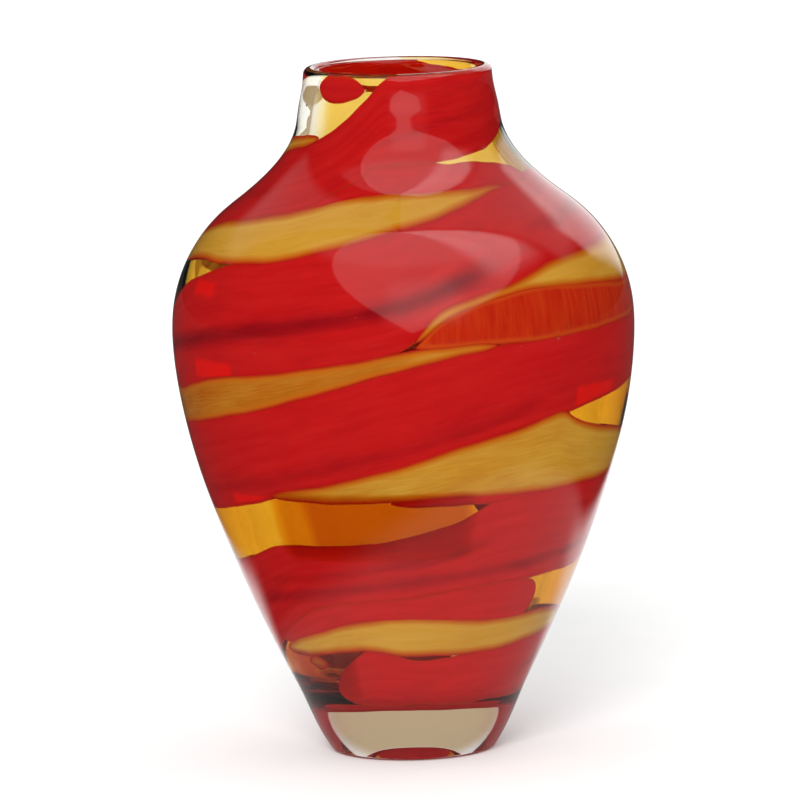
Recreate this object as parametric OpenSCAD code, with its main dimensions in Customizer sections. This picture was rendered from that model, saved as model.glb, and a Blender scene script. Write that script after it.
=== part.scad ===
// Hand blown art glass vase: red and ochre trails wound round an amber liner, all cased in clear glass.
// Sizes are in millimetres. +Z is up, and the origin is the centre of the foot on the surface it stands on.

/* [Outline] */
// Height from the foot to the top of the lip
vase_height = 240; // [238:0.5:246]
// Radius at the widest level
belly_radius = 80.5; // [77:0.5:84]
// Height of the widest level
belly_level = 149.5; // [146:0.5:153]
// Radius where the shoulder is steepest
shoulder_radius = 59.2; // [57:0.2:61]
// Height where the shoulder is steepest
shoulder_level = 192.5; // [190:0.5:194]
// Lean of the shoulder there, measured from upright
shoulder_angle = 53.5; // [49:0.5:57]
// Outer radius at the root of the collar
collar_radius = 35.2; // [34.2:0.2:37]
// Height of the root of the collar
collar_level = 223; // [221:0.5:225]
// Lean of the collar, measured from upright
collar_angle = 5; // [3:0.5:8]

/* [Lip and foot] */
// Outer radius of the lip
lip_radius = 32.8; // [32:0.2:34]
// Thickness of the lip, which is rounded over its whole width
lip_thickness = 4.8; // [4.6:0.1:5.4]
// Depth of clear glass from the top of the lip down to the liner
lip_cover = 1; // [0.8:0.1:1.6]
// Radius of the flat that the vase stands on
foot_radius = 26; // [24.5:0.5:26.5]
// Outer radius at the top of the rounded heel
heel_radius = 28.7; // [28.2:0.1:29.4]
// Height of the top of the rounded heel
heel_level = 1; // [0.8:0.1:1.6]
// Lean of the lower body, measured from upright
taper_angle = 26.5; // [24:0.5:28]
// Radius of the ground and polished hollow under the foot
pontil_radius = 14.5; // [13:0.5:16]
// Depth of that hollow
pontil_depth = 7.6; // [6:0.1:8]

/* [Glass layers] */
// Clear glass over the trails at the collar and the shoulder
casing_thin = 2; // [1.6:0.1:2.2]
// Clear glass over the trails at the belly and below it
casing_thick = 3.5; // [3:0.1:4]
// Thickness of the layer that the trails lie in
bed_thickness = 1.4; // [1.2:0.1:1.5]
// Thickness of the amber liner at the collar and the shoulder
liner_thin = 1.4; // [1:0.1:1.6]
// Thickness of the amber liner at the belly and below it
liner_thick = 2.3; // [1.8:0.1:3]
// Solid clear glass under the trails, from the foot up
base_thickness = 21.5; // [19:0.5:22]
// Thickness of the liner at the floor of the vase
floor_thickness = 3.5; // [2.5:0.1:5]
// Radius of the red glass gathered under the floor, where the trails begin
gather_radius = 22; // [18:0.5:24]

/* [Trails] */
// Gap between a trail and the casing over it
outer_gap = 0.2; // [0.15:0.05:0.25]
// Gap between a trail and the liner under it, wider because the trails are built from flats
inner_gap = 0.35; // [0.3:0.05:0.4]
// Angle between two sections along a trail
section_step = 8; // [6:1:10]
// Greatest height of one flat across a trail
flat_height = 5; // [4:0.5:6]
// Angle over which each end of a trail rounds off
end_angle = 5; // [3:0.5:6]

/* [Hidden] */

clear_colour = [0.85, 0.9, 0.9, 0.3];
amber_colour = [0.9, 0.6, 0.1, 0.5];
red_colour = [0.72, 0.06, 0.06];
orange_colour = [0.8, 0.25, 0.05];
ochre_colour = [0.8, 0.55, 0.15];

// Steps round the vase, along one curve of the outline, over the lip, down the liner's part of the lip
// and across the pontil hollow
round_steps = 180;
curve_steps = 8;
neck_steps = 4;
lip_steps = 10;
mouth_steps = 3;
pontil_steps = 8;

// Reach of the handles of each curve of the outline, from its lower end and to its upper end
heel_reach = [1.2, 0.6];
taper_reach = [41.4, 50];
upper_reach = [19, 15];
sweep_reach = [16.5, 11.5];
collar_reach = [4, 4];
corner_reach = [5, 7];

// How square the section of the pontil hollow is
pontil_fullness = 4;

mouth_radius = lip_radius - lip_thickness;
lip_centre = [lip_radius - lip_thickness / 2, vase_height - lip_thickness / 2];
liner_top = vase_height - lip_cover;
bed_floor = base_thickness;
liner_floor = base_thickness + bed_thickness;
cavity_floor = liner_floor + floor_thickness;

// The gathered red glass lies in the bed under the liner's floor, and its rim is rounded
gather_levels = [bed_floor + outer_gap, liner_floor - inner_gap];
rim_steps = 6;

// Round corner between the wall and the floor of every layer
corner_height = 11;
corner_width = 11;
corner_level = base_thickness + corner_height;

// Levels where the layer thicknesses are set: thick at the first two and thin at the others
layer_levels = [60, belly_level, shoulder_level, collar_level];

// The wall's own points stop this far short of a layer's top, and the cavity runs straight from
// mouth_start to the foot of the lip's rounding
top_margin = 1;
mouth_start = collar_level + 4;

// Sections of a trail: share of the full thickness left at its edges, share of the full height left
// at its ends, least height, places of the extra sections in a rounded end, and the highest level
edge_share = 0.2;
end_share = 0.3;
least_height = 0.6;
end_places = [0.12, 0.45];
trail_ceiling = liner_top - 0.2;

// The trails. Each row is one crossing: the angle round the vase, in degrees from the front and rising
// to the right, then the height of the lower edge and of the upper edge of the trail there.
red_front_path = [
    [-41, 22.8, 29], [-30, 22.6, 36], [-18, 22.6, 41.3], [5, 22.6, 38], [30, 22.6, 40], [60, 22.8, 42.6],
    [90, 24, 44.5], [105, 26, 45], [115, 29, 48], [122, 36, 55], [130, 49, 70.5], [145, 66, 94],
    [157, 79, 106], [180, 86.5, 112], [230, 88.3, 116], [262, 89, 118], [280, 90, 119.5],
    [300, 93.5, 123.5], [320, 98.8, 129.2], [340, 104.3, 136.3], [360, 110.3, 144.2], [380, 117.8, 149.3],
    [400, 124.3, 151.3], [420, 128, 152], [440, 131, 153], [480, 140, 163], [540, 158, 183],
    [590, 172, 198], [640, 186, 210.6], [660, 190.6, 214.3], [680, 194.6, 220], [700, 204, 230.5],
    [709, 208, 236.4], [720, 209.2, 239], [740, 210.2, 239], [760, 211.4, 239], [780, 214.4, 239],
    [800, 218.5, 239], [815, 223, 238], [830, 227, 236.5], [850, 229.5, 235.5], [880, 230, 236.5],
    [900, 229.5, 239], [940, 230, 239], [975, 231.5, 239]
];
red_back_path = [
    [-205, 22.8, 29], [-190, 22.6, 36], [-160, 22.6, 47], [-120, 24, 59], [-100, 28, 64.5],
    [-80, 39, 70], [-62, 46.8, 74], [-50, 52, 78.2], [-40, 56.6, 79.6], [-20, 60.3, 80.8],
    [0, 62.3, 83.8], [14, 64.2, 88], [20, 64.8, 91.4], [25, 65.4, 94.8], [30, 65.8, 96.4], [36, 66.2, 97.7],
    [60, 67.8, 97.8], [80, 69.5, 98.5], [105, 75, 102.5], [115, 78, 103.8], [122, 81, 105.8],
    [130, 86, 110.5], [145, 102, 121.5], [157, 115, 132], [180, 124, 142], [230, 128, 149],
    [250, 129, 151.5], [265, 130, 154.5], [274, 131, 158.5], [280, 131.6, 163.5], [286, 133, 167.5],
    [292, 135, 169.8], [305, 138.9, 175], [320, 140.8, 178.3], [340, 144.9, 183], [355, 148.8, 187.3],
    [362, 153.5, 189.2], [370, 163.3, 190.8], [380, 167.3, 193.7], [390, 170.1, 196.6],
    [400, 173.8, 199], [420, 178, 200.4], [440, 179.5, 201], [455, 181, 200.2], [470, 183.5, 198.4],
    [487, 187, 195]
];
red_shoulder_path = [
    [684, 195.2, 195.8], [692, 197.3, 199.8], [700, 199, 203.4], [706, 199.7, 207.4], [712, 200, 208.2],
    [720, 200.2, 208.6], [733, 200.3, 208.6], [745, 200.5, 207.6], [760, 200.8, 207.9], [775, 201, 205.8], [790, 201.2, 202.8]
];
red_foot_path = [
    [-66, 43, 44], [-50, 46.2, 51.4], [-40, 48.6, 56], [-20, 53.6, 59.7], [0, 54.8, 61.7],
    [20, 53.6, 64.2], [40, 52.6, 65.6], [52, 53.4, 65]
];
red_sliver_path = [
    [-5, 96.8, 97.5], [5, 96.6, 97.8], [15, 96.2, 98], [25, 96.2, 98.1], [33, 96.8, 98.1]
];
red_chip_path = [
    [-58, 233, 236.6], [-50, 230.9, 237.2], [-40, 230, 237.4], [-30, 231.7, 236.9], [-21, 234.3, 235.2]
];
wedge_path = [
    [3, 150.9, 151.7], [10, 151.4, 159.2], [20, 151.6, 164.5], [30, 151.8, 167.1], [40, 152.2, 167.7],
    [60, 152.9, 166.2], [80, 154, 163.6], [108, 161, 164.2]
];
ochre_low_path = [
    [-66, 40, 41.4], [-50, 40, 45.4], [-40, 40.8, 47.8], [-20, 43, 52.8], [0, 41.2, 54],
    [20, 40.8, 52.8], [40, 41.8, 51.8], [60, 43.4, 52.6], [75, 45, 52], [90, 45.5, 49.5],
    [105, 46, 48.8], [115, 49, 52.5], [122, 56, 60.5], [130, 71.5, 77], [145, 95, 100.5],
    [157, 107, 113.5], [180, 113, 123], [230, 117, 127], [280, 120.3, 130.8], [292, 122.4, 134],
    [305, 125.4, 138.2], [320, 130, 140.1], [340, 137, 144.2], [355, 142.8, 148.2], [365, 146.4, 150],
    [375, 148.8, 150.8], [384, 150, 151]
];
ochre_mid_path = [
    [-42, 97.6, 98.4], [-30, 97.4, 101], [-20, 97.6, 103.8], [0, 98.6, 109.7], [20, 98.9, 117.4],
    [34, 98.9, 121.3], [45, 98.9, 124.6], [51, 98.8, 121], [58, 98.8, 118], [75, 99.6, 115],
    [90, 102, 111], [105, 104.5, 108.5], [115, 105.2, 109], [122, 107.5, 112.5], [130, 112, 120],
    [145, 123, 132], [157, 133, 142], [180, 143.5, 154], [230, 159, 169], [250, 167, 176.5],
    [280, 175.6, 185.2], [300, 176.6, 189.4], [320, 179, 193.4], [340, 183.7, 198], [360, 189.8, 199.7],
    [380, 194.3, 199.6], [400, 199.2, 200], [407, 199.6, 200]
];
ochre_high_path = [
    [363, 152.4, 154], [370, 160, 162.8], [380, 165, 166.9], [390, 167.6, 169.7], [400, 168.2, 173.4],
    [410, 168.1, 175.8], [425, 166.9, 177.6], [445, 164.6, 178.8], [490, 168, 186], [540, 185, 199],
    [590, 199, 208], [640, 211.4, 215], [658, 214.6, 217], [668, 216.6, 217.6]
];
fleck_path = [[-53, 36.4, 37.2], [-47, 35, 38.8], [-41, 36.4, 37.2]];

// Cubic curve from a to b, with its handles along the directions leave and arrive
function curve(a, leave, reach, arrive, b, steps = curve_steps) = [
    for (i = [0 : steps])
        let (t = i / steps, u = 1 - t, p = a + leave * reach[0], q = b - arrive * reach[1])
            u * u * u * a + 3 * u * u * t * p + 3 * u * t * t * q + t * t * t * b
];

// A list without its first item, to join curves that share a point
function tail(list) = [for (i = [1 : len(list) - 1]) list[i]];

function reversed(list) = [for (i = [len(list) - 1 : -1 : 0]) list[i]];

// Outer skin from the heel up to where the lip starts to round
taper_way = [sin(taper_angle), cos(taper_angle)];
shoulder_way = [-sin(shoulder_angle), cos(shoulder_angle)];
collar_way = [-sin(collar_angle), cos(collar_angle)];
heel_top = [heel_radius, heel_level];
belly = [belly_radius, belly_level];
shoulder = [shoulder_radius, shoulder_level];
collar = [collar_radius, collar_level];
lip_start = [lip_radius, lip_centre[1]];
heel_curve = curve([foot_radius, 0], [1, 0], heel_reach, taper_way, heel_top);
skin = concat(
    curve(heel_top, taper_way, taper_reach, [0, 1], belly, 2 * curve_steps),
    tail(curve(belly, [0, 1], upper_reach, shoulder_way, shoulder)),
    tail(curve(shoulder, shoulder_way, sweep_reach, collar_way, collar)),
    tail(curve(collar, collar_way, collar_reach, [0, 1], lip_start, neck_steps))
);

// Part of the half round of the lip, between two angles from its outer side over the top
function lip_part(from, to, steps) = [
    for (i = [0 : steps])
        let (a = from + (to - from) * i / steps) lip_centre + lip_thickness / 2 * [cos(a), sin(a)]
];

// The casing has the lip up to the level of the liner's top in the mouth, and the liner has the rest
lip_split = 180 - asin((liner_top - lip_centre[1]) / (lip_thickness / 2));
casing_lip = lip_part(0, lip_split, lip_steps);
liner_lip = lip_part(180, lip_split, mouth_steps);

// Polished hollow under the foot, from the axis out to its rim
pontil_arc = [
    for (i = [0 : pontil_steps])
        let (t = i / pontil_steps) [pontil_radius * t, pontil_depth * (1 - pow(t, pontil_fullness))]
];

// Skin moved inwards along its normal by a depth that follows the level
function inset(depths) = [
    for (i = [1 : len(skin) - 1])
        let (
            along = skin[min(i + 1, len(skin) - 1)] - skin[i - 1],
            inwards = [-along[1], along[0]] / norm(along),
            depth = lookup(skin[i][1], [for (j = [0 : len(depths) - 1]) [layer_levels[j], depths[j]]])
        )
            skin[i] + inwards * depth
];

// Line of a layer from the middle of its floor, round the corner and up to the level top
function layer_line(depths, floor_level, top) =
    let (
        wall = [for (p = inset(depths)) if (p[1] > corner_level && p[1] < top - top_margin) p],
        levels = [for (p = inset(depths)) [p[1], p[0]]],
        down = (wall[0] - wall[1]) / norm(wall[0] - wall[1]),
        corner_end = [wall[0][0] - corner_width, floor_level]
    )
        concat(
            [[0, floor_level]],
            reversed(curve(wall[0], down, corner_reach, [-1, 0], corner_end)),
            tail(wall),
            [[lookup(top, levels), top]]
        );

casing_depths = [casing_thick, casing_thick, casing_thin, casing_thin];
liner_depths = [liner_thick, liner_thick, liner_thin, liner_thin];
bed_depths = [for (d = casing_depths) d + bed_thickness];
wall_depths = bed_depths + liner_depths;
casing_line = layer_line(casing_depths, bed_floor, liner_top);
liner_line = layer_line(bed_depths, liner_floor, liner_top);
cavity_wall = [for (p = layer_line(wall_depths, cavity_floor, liner_top)) if (p[1] < mouth_start) p];
cavity_line = concat(cavity_wall, liner_lip);

// Levels and radii along a layer's line, for looking up its radius at a level
function pairs(line) = [for (i = [1 : len(line) - 1]) [line[i][1], line[i][0]]];
casing_pairs = pairs(casing_line);
liner_pairs = pairs(liner_line);

// Value of column k of a path at angle a, on a smooth curve through its rows
function slope(path, i, k) =
    let (lo = max(i - 1, 0), hi = min(i + 1, len(path) - 1))
        (path[hi][k] - path[lo][k]) / (path[hi][0] - path[lo][0]);

function along_path(path, a, k) =
    let (
        i = min(max(concat(0, [for (j = [0 : len(path) - 1]) if (path[j][0] <= a) j])), len(path) - 2),
        span = path[i + 1][0] - path[i][0],
        t = (a - path[i][0]) / span,
        rise = path[i + 1][k] - path[i][k],
        s0 = slope(path, i, k) * span,
        s1 = slope(path, i + 1, k) * span
    )
        path[i][k] + t * s0 + t * t * (3 * rise - 2 * s0 - s1) + t * t * t * (s0 + s1 - 2 * rise);

// Angle that each rounded end of a trail takes up, less on a short trail
function end_span(first, last) = min(end_angle, (last - first) / 3);

// Share of a trail's height left at angle a, where its ends round off
function blunt(path, a) =
    let (
        first = path[0][0],
        last = path[len(path) - 1][0],
        s = max(0, min(1, min(a - first, last - a) / end_span(first, last)))
    )
        end_share + (1 - end_share) * sqrt(1 - pow(1 - s, 2));

// Section of a trail at angle a: up its outer face and down its inner face, thin at both edges
function section(path, a, rows) =
    let (
        top = min(along_path(path, a, 2), trail_ceiling),
        bottom = min(along_path(path, a, 1), top - least_height),
        half_height = max(least_height, (top - bottom) * blunt(path, a)) / 2,
        centre = (top + bottom) / 2,
        faces = [
            for (j = [0 : rows])
                let (
                    s = 2 * j / rows - 1,
                    z = centre + half_height * s,
                    full = edge_share + (1 - edge_share) * sqrt(1 - pow(s, 4)),
                    r_out = lookup(z, casing_pairs) - outer_gap,
                    r_in = lookup(z, liner_pairs) + inner_gap,
                    middle = (r_out + r_in) / 2,
                    half = (r_out - r_in) / 2 * full
                )
                    [middle + half, middle - half, z]
        ]
    )
        concat(
            [for (p = faces) [p[0] * sin(a), -p[0] * cos(a), p[2]]],
            [for (p = reversed(faces)) [p[1] * sin(a), -p[1] * cos(a), p[2]]]
        );

// Angles of a trail's sections: close together in its rounded ends and even between them
function section_angles(first, last) =
    let (
        ends = end_span(first, last),
        span = last - first - 2 * ends,
        steps = ceil(span / section_step)
    )
        concat(
            first,
            [for (t = end_places) first + ends * t],
            [for (i = [0 : steps]) first + ends + span * i / steps],
            [for (t = reversed(end_places)) last - ends * t],
            last
        );

// A trail: its sections joined into one closed solid
module trail(path) {
    angles = section_angles(path[0][0], path[len(path) - 1][0]);
    rows = max(3, ceil(max([for (p = path) p[2] - p[1]]) / flat_height));
    ring = 2 * (rows + 1);
    last_ring = ring * (len(angles) - 1);
    points = [for (a = angles) each section(path, a, rows)];
    sides = [
        for (start = [0 : ring : last_ring - ring])
            for (j = [0 : ring - 1])
                let (a = start + j, b = start + (j + 1) % ring)
                    each [[a, b, b + ring], [a, b + ring, a + ring]]
    ];
    start_cap = [for (j = [ring - 1 : -1 : 0]) j];
    end_cap = [for (j = [0 : ring - 1]) last_ring + j];
    polyhedron(points, concat([start_cap], sides, [end_cap]), convexity = 8);
}

module clear_casing() {
    color(clear_colour)
        rotate_extrude($fn = round_steps)
            polygon(concat(
                pontil_arc,
                heel_curve,
                tail(skin),
                tail(casing_lip),
                reversed(casing_line)
            ));
}

module amber_liner() {
    color(amber_colour)
        rotate_extrude($fn = round_steps)
            polygon(concat(liner_line, reversed(cavity_line)));
}

module red_trail_front() {
    color(red_colour) trail(red_front_path);
}

module red_trail_back() {
    color(red_colour) trail(red_back_path);
}

module red_shoulder_tongue() {
    color(red_colour) trail(red_shoulder_path);
}

module red_foot_tongue() {
    color(red_colour) trail(red_foot_path);
}

module red_sliver() {
    color(red_colour) trail(red_sliver_path);
}

module red_lip_chip() {
    color(red_colour) trail(red_chip_path);
}

module orange_wedge() {
    color(orange_colour) trail(wedge_path);
}

module ochre_trail_low() {
    color(ochre_colour) trail(ochre_low_path);
}

module ochre_trail_mid() {
    color(ochre_colour) trail(ochre_mid_path);
}

module ochre_trail_high() {
    color(ochre_colour) trail(ochre_high_path);
}

module ochre_foot_fleck() {
    color(ochre_colour) trail(fleck_path);
}

module red_foot_gather() {
    rim = (gather_levels[1] - gather_levels[0]) / 2;
    rim_centre = [gather_radius - rim, gather_levels[0] + rim];
    edge = [
        for (i = [0 : rim_steps])
            let (a = 180 * i / rim_steps - 90) rim_centre + rim * [cos(a), sin(a)]
    ];
    color(red_colour)
        rotate_extrude($fn = round_steps)
            polygon(concat([[0, gather_levels[0]]], edge, [[0, gather_levels[1]]]));
}

clear_casing();
amber_liner();
red_trail_front();
red_trail_back();
red_shoulder_tongue();
red_foot_tongue();
red_sliver();
red_lip_chip();
orange_wedge();
ochre_trail_low();
ochre_trail_mid();
ochre_trail_high();
ochre_foot_fleck();
red_foot_gather();
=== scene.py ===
import math

import bpy
import numpy as np
from mathutils import Matrix, Vector


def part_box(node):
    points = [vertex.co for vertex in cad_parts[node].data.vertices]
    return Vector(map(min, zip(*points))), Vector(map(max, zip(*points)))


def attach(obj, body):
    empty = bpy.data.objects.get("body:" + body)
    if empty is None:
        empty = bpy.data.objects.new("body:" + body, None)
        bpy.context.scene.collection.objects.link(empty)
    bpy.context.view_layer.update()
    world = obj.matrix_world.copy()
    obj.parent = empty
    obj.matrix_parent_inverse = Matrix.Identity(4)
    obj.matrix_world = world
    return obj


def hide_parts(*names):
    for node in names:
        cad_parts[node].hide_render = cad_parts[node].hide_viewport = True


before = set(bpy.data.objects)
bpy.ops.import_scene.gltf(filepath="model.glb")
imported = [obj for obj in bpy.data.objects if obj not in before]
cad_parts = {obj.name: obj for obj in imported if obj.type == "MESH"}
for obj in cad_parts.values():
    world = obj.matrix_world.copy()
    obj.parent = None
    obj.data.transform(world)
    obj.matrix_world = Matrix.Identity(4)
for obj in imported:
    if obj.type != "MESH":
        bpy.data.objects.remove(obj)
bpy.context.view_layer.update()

# A hand blown vase of clear glass cased over red and ochre trails, which lie round an amber liner.
# Lengths are in metres. Levels and widths of the trails are in millimetres, as in the CAD source, and
# angles are in degrees from the front, rising to the right.
MM = 0.001
SEED = 11

# Resolution of the revolved glass and of the trails
RING_STEPS = 256
SKIN_STEP = 1.2 * MM
INNER_STEP = 3.0 * MM
TRAIL_STEP_DEG = 1.6
TRAIL_ROW = 1.1
TRAIL_LEAST_STEPS = 8
TRAIL_LEAST_ROWS = 6

# Up to this level the skin is the foot's, where a level has more than one radius
FOOT_PART = 10 * MM

# Widest gap between points of one ring of a CAD node, and the least turn that is a real corner point
RING_TOLERANCE = 30e-6
LEAST_TURN = 0.002

# Slow waves that hand work leaves in the outer skin and in the wall of the cavity
SKIN_WAVE = 0.12 * MM
CAVITY_WAVE = 0.25 * MM
WAVE_FADE = 14 * MM

# The top of the liner stands this far under the casing's lip, so that the two faces stay apart
LAYER_GAP = 0.05 * MM

# Clear glass: its tint, and the slow swirls left in its skin by the furnace. On the ring that the vase
# stands on it is worn: up to this height, and this dull
GLASS_IOR = 1.5
CLEAR_TINT = (0.985, 0.985, 0.975, 1)
SWIRL_HEIGHT = 0.25 * MM
WORN_HEIGHT = 0.15 * MM
WORN_ROUGHNESS = 0.35

# Amber glass: what its colour lets through, and how strongly it takes up the rest
AMBER_TINT = (0.922, 0.742, 0.008, 1)
AMBER_DENSITY = 770

# The floor lies this far under the foot
FLOOR_GAP = 0.1 * MM

# Seen in the glass, the floor has a painted reflection of a dimmer table: the shares of its
# brightness near the vase and away from it, and the distances between which it changes, round a
# middle a little to the right. A strip behind the vase keeps its brightness: its middle, the half
# widths and the distances between which it comes in
PAINTED_TABLE_SHARES = (0.42, 0.03)
TABLE_EDGE = (0.15, 0.19)
TABLE_MIDDLE = 0.07
STRIP_MIDDLE = 0.02
STRIP_HALF_WIDTH = (0.19, 0.14)
STRIP_START = (0.05, 0.12)

# The trails. Each row is one crossing: angle, level of the lower edge and level of the upper edge.
PATHS = {
    "red_trail_front": [
        [-41, 22.8, 29], [-30, 22.6, 36], [-18, 22.6, 41.3], [5, 22.6, 38], [30, 22.6, 40],
        [60, 22.8, 42.6], [90, 24, 44.5], [105, 26, 45], [115, 29, 48], [122, 36, 55], [130, 49, 70.5],
        [145, 66, 94], [157, 79, 106], [180, 86.5, 112], [230, 88.3, 116], [262, 89, 118],
        [280, 90, 119.5], [300, 93.5, 123.5], [320, 98.8, 129.2], [340, 104.3, 136.3],
        [360, 110.3, 144.2], [380, 117.8, 149.3], [400, 124.3, 151.3], [420, 128, 152], [440, 131, 153],
        [480, 140, 163], [540, 158, 183], [590, 172, 198], [640, 186, 210.6], [660, 190.6, 214.3],
        [680, 194.6, 220], [700, 204, 230.5], [709, 208, 236.4], [720, 209.2, 239], [740, 210.2, 239],
        [760, 211.4, 239], [780, 214.4, 239], [800, 218.5, 239], [815, 223, 238], [830, 227, 236.5],
        [850, 229.5, 235.5], [880, 230, 236.5], [900, 229.5, 239], [940, 230, 239], [975, 231.5, 239],
    ],
    "red_trail_back": [
        [-205, 22.8, 29], [-190, 22.6, 36], [-160, 22.6, 47], [-120, 24, 59], [-100, 28, 64.5],
        [-80, 39, 70], [-62, 46.8, 74], [-50, 52, 78.2], [-40, 56.6, 79.6], [-20, 60.3, 80.8],
        [0, 62.3, 83.8], [14, 64.2, 88], [20, 64.8, 91.4], [25, 65.4, 94.8], [30, 65.8, 96.4],
        [36, 66.2, 97.7], [60, 67.8, 97.8], [80, 69.5, 98.5], [105, 75, 102.5], [115, 78, 103.8],
        [122, 81, 105.8], [130, 86, 110.5], [145, 102, 121.5], [157, 115, 132], [180, 124, 142],
        [230, 128, 149], [250, 129, 151.5], [265, 130, 154.5], [274, 131, 158.5], [280, 131.6, 163.5],
        [286, 133, 167.5], [292, 135, 169.8], [305, 138.9, 175], [320, 140.8, 178.3], [340, 144.9, 183],
        [355, 148.8, 187.3], [362, 153.5, 189.2], [370, 163.3, 190.8], [380, 167.3, 193.7],
        [390, 170.1, 196.6], [400, 173.8, 199], [420, 178, 200.4], [440, 179.5, 201], [455, 181, 200.2],
        [470, 183.5, 198.4], [487, 187, 195],
    ],
    "red_shoulder_tongue": [
        [684, 195.2, 195.8], [692, 197.3, 199.8], [700, 199, 203.4], [706, 199.7, 207.4],
        [712, 200, 208.2], [720, 200.2, 208.6], [733, 200.3, 208.6], [745, 200.5, 207.6],
        [760, 200.8, 207.9], [775, 201, 205.8], [790, 201.2, 202.8],
    ],
    "red_foot_tongue": [
        [-66, 43, 44], [-50, 46.2, 51.4], [-40, 48.6, 56], [-20, 53.6, 59.7], [0, 54.8, 61.7],
        [20, 53.6, 64.2], [40, 52.6, 65.6], [52, 53.4, 65],
    ],
    "red_sliver": [
        [-5, 96.8, 97.5], [5, 96.6, 97.8], [15, 96.2, 98], [25, 96.2, 98.1], [33, 96.8, 98.1],
    ],
    "red_lip_chip": [
        [-58, 233, 236.6], [-50, 230.9, 237.2], [-40, 230, 237.4], [-30, 231.7, 236.9],
        [-21, 234.3, 235.2],
    ],
    "orange_wedge": [
        [3, 150.9, 151.7], [10, 151.4, 159.2], [20, 151.6, 164.5], [30, 151.8, 167.1],
        [40, 152.2, 167.7], [60, 152.9, 166.2], [80, 154, 163.6], [108, 161, 164.2],
    ],
    "ochre_trail_low": [
        [-66, 40, 41.4], [-50, 40, 45.4], [-40, 40.8, 47.8], [-20, 43, 52.8], [0, 41.2, 54],
        [20, 40.8, 52.8], [40, 41.8, 51.8], [60, 43.4, 52.6], [75, 45, 52], [90, 45.5, 49.5],
        [105, 46, 48.8], [115, 49, 52.5], [122, 56, 60.5], [130, 71.5, 77], [145, 95, 100.5],
        [157, 107, 113.5], [180, 113, 123], [230, 117, 127], [280, 120.3, 130.8], [292, 122.4, 134],
        [305, 125.4, 138.2], [320, 130, 140.1], [340, 137, 144.2], [355, 142.8, 148.2],
        [365, 146.4, 150], [375, 148.8, 150.8], [384, 150, 151],
    ],
    "ochre_trail_mid": [
        [-42, 97.6, 98.4], [-30, 97.4, 101], [-20, 97.6, 103.8], [0, 98.6, 109.7], [20, 98.9, 117.4],
        [34, 98.9, 121.3], [45, 98.9, 124.6], [51, 98.8, 121], [58, 98.8, 118], [75, 99.6, 115],
        [90, 102, 111], [105, 104.5, 108.5], [115, 105.2, 109], [122, 107.5, 112.5], [130, 112, 120],
        [145, 123, 132], [157, 133, 142], [180, 143.5, 154], [230, 159, 169], [250, 167, 176.5],
        [280, 175.6, 185.2], [300, 176.6, 189.4], [320, 179, 193.4], [340, 183.7, 198],
        [360, 189.8, 199.7], [380, 194.3, 199.6], [400, 199.2, 200], [407, 199.6, 200],
    ],
    "ochre_trail_high": [
        [363, 152.4, 154], [370, 160, 162.8], [380, 165, 166.9], [390, 167.6, 169.7],
        [400, 168.2, 173.4], [410, 168.1, 175.8], [425, 166.9, 177.6], [445, 164.6, 178.8],
        [490, 168, 186], [540, 185, 199], [590, 199, 208], [640, 211.4, 215], [658, 214.6, 217],
        [668, 216.6, 217.6],
    ],
    "ochre_foot_fleck": [[-53, 36.4, 37.2], [-47, 35, 38.8], [-41, 36.4, 37.2]],
}

# Darker streaks that run along a trail, partly the glass's own streaks and partly painted shade where the
# dark inside of the vase would show through the red: half width in mm, strength, and their angles and
# levels
STREAKS_AND_PAINTED_SHADE = {
    "red_trail_back": [
        (3.2, 0.95, [(262, 139), (280, 147), (320, 156), (340, 160), (360, 165), (390, 178)]),
        (2.2, 0.6, [(-75, 56), (-60, 60), (0, 68), (40, 72), (80, 76)]),
        (1.8, 0.4, [(-62, 66), (-30, 70), (10, 76), (36, 86)]),
        (2.4, 0.5, [(110, 88), (145, 110), (180, 132), (240, 138)]),
        (2.0, 0.4, [(400, 186), (440, 190), (487, 191)]),
    ],
    "red_trail_front": [
        (2.6, 0.4, [(280, 96), (320, 104), (360, 116), (400, 130)]),
        (2.4, 0.5, [(60, 30), (115, 46), (145, 80), (180, 98), (262, 102)]),
        (2.4, 0.4, [(440, 138), (520, 160), (600, 184), (660, 200)]),
        (1.6, 0.3, [(700, 214), (740, 222), (790, 228)]),
    ],
}

# Patches of painted light on a trail, brighter where light from behind would shine through it: angles
# from and to, and levels in mm from and to
PAINTED_GLOWS = {
    "red_trail_back": [(-70, -59, 165, 169.5), (-66, -50, 138, 143.6)],
    "red_trail_front": [(-60, -45, 94, 97.6), (50, 67, 126.6, 133)],
}

# Darker, browner stretches of a trail: angles where they start, hold and end, and strength
DEEP_STRETCHES = {
    "ochre_trail_low": [(150, 250, 352, 380, 0.8)],
    "ochre_trail_mid": [(-60, -40, 30, 70, 0.25)],
}

# Length in degrees over which a streak comes in and goes out, and over which a painted glow patch's edges
# blend, in degrees and in mm
STREAK_FADE = 12
PATCH_BLEND = (1.5, 1.0)

# How far a trail reaches under or over its neighbours at each edge, how much its edges wander, how far
# it stays under the liner's top, and its least width, all in mm
FRINGE = 0.9
EDGE_WANDER = 0.5
TOP_GAP = 0.3
LEAST_WIDTH = 0.4

# A trail's blunt ends: their length in degrees, and shares of it at which there are extra steps
END_LENGTH = 6.0
END_STEPS = (0.01, 0.04, 0.1, 0.2, 0.35, 0.6)

# Least square of a trail's width at its ends and of its thickness at its edges, as shares, so that no
# face collapses there
LEAST_END = 0.0004
LEAST_EDGE = 0.002

# Place of a trail in the depth of its bed, as shares of half the bed: its middle and half its thickness
UNDER = (-0.22, 0.55)
OVER = (0.30, 0.50)
DEPTHS = {
    "red_trail_front": UNDER, "red_trail_back": UNDER, "red_shoulder_tongue": OVER,
    "red_foot_tongue": OVER, "red_sliver": UNDER, "red_lip_chip": UNDER, "orange_wedge": OVER,
    "ochre_trail_low": OVER, "ochre_trail_mid": OVER, "ochre_trail_high": OVER, "ochre_foot_fleck": OVER,
}

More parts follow.
